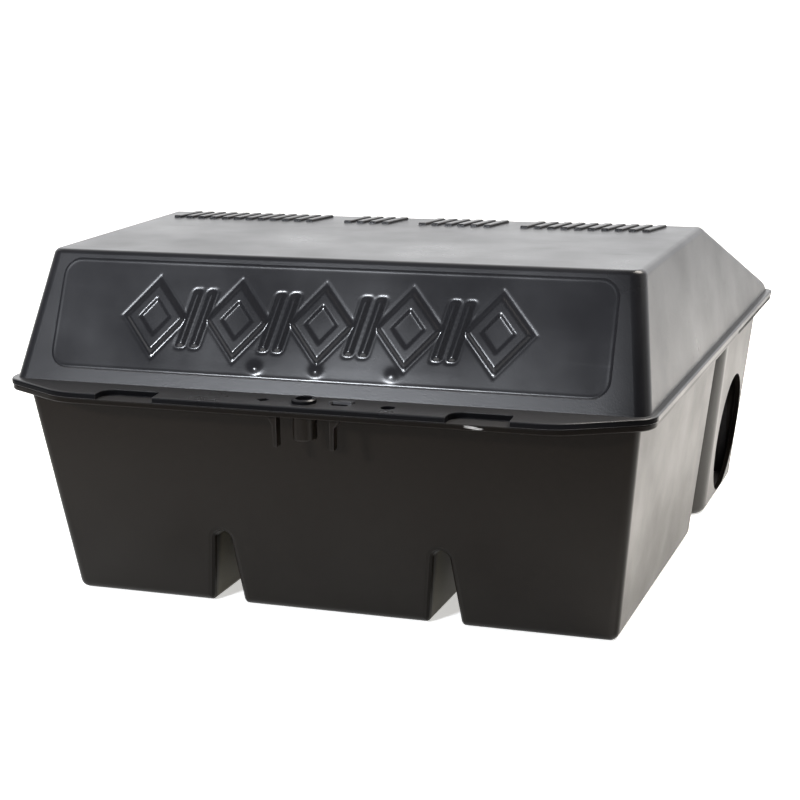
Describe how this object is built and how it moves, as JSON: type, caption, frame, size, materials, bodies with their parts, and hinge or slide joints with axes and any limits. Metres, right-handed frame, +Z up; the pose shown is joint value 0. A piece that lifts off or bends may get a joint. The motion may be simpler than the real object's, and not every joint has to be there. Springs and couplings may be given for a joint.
{
  "type": "rodent bait station",
  "caption": "Lockable box with a hinged hip-roof lid, a rear runway entered through a round hole at each end, and removable trays with upright bait rods.",
  "frame": {"origin": "middle of the overall footprint, on the floor", "axes": "+Z up; -Y is the lock side, +Y the hinge side; X runs along the runway from entrance to entrance"},
  "size_m": [0.3, 0.3306, 0.1621],
  "materials": {
    "base_plastic": "satin",
    "lid_plastic": "satin",
    "tray_plastic": "satin",
    "pin_steel": "satin",
    "lock_steel": "satin",
    "ring_steel": "satin",
    "insert_brass": "satin",
    "rod_steel": "bright wire",
    "bait_wax": "waxy"
  },
  "bodies": {
    "base": {"base_tub": "base_plastic", "hinge_pins": "pin_steel", "lock_insert": "insert_brass"},
    "lid": {"lid": "lid_plastic"},
    "lock": {"lock_stud": "lock_steel", "lock_retaining_ring": "ring_steel"},
    "tray_left": {"bait_tray_left": "tray_plastic"},
    "tray_right": {"bait_tray_right": "tray_plastic"},
    "rod_left_front": {"bait_rod_left_front": "rod_steel", "bait_blocks_left_front": "bait_wax"},
    "rod_left_rear": {"bait_rod_left_rear": "rod_steel", "bait_blocks_left_rear": "bait_wax"},
    "rod_right_front": {"bait_rod_right_front": "rod_steel", "bait_blocks_right_front": "bait_wax"},
    "rod_right_rear": {"bait_rod_right_rear": "rod_steel", "bait_blocks_right_rear": "bait_wax"}
  },
  "joints": [
    {"name": "lid_hinge", "type": "hinge", "parent": "base", "child": "lid", "pos_m": [0, 0.1617, 0.10257], "axis": [-1, 0, 0], "range_deg": [0, 110]},
    {"name": "lock_turn", "type": "hinge", "parent": "lid", "child": "lock", "pos_m": [0.0008, -0.1566, 0.104], "axis": [0, 0, 1], "range_deg": [0, 90]},
    {"name": "tray_left_lift", "type": "slide", "parent": "base", "child": "tray_left", "axis": [0, 0, 1], "range_m": [0, 0.025]},
    {"name": "tray_right_lift", "type": "slide", "parent": "base", "child": "tray_right", "axis": [0, 0, 1], "range_m": [0, 0.025]},
    {"name": "rod_left_front_lift", "type": "slide", "parent": "tray_left", "child": "rod_left_front", "axis": [0, 0, 1], "range_m": [0, 0.014]},
    {"name": "rod_left_rear_lift", "type": "slide", "parent": "tray_left", "child": "rod_left_rear", "axis": [0, 0, 1], "range_m": [0, 0.014]},
    {"name": "rod_right_front_lift", "type": "slide", "parent": "tray_right", "child": "rod_right_front", "axis": [0, 0, 1], "range_m": [0, 0.014]},
    {"name": "rod_right_rear_lift", "type": "slide", "parent": "tray_right", "child": "rod_right_rear", "axis": [0, 0, 1], "range_m": [0, 0.014]}
  ]
}
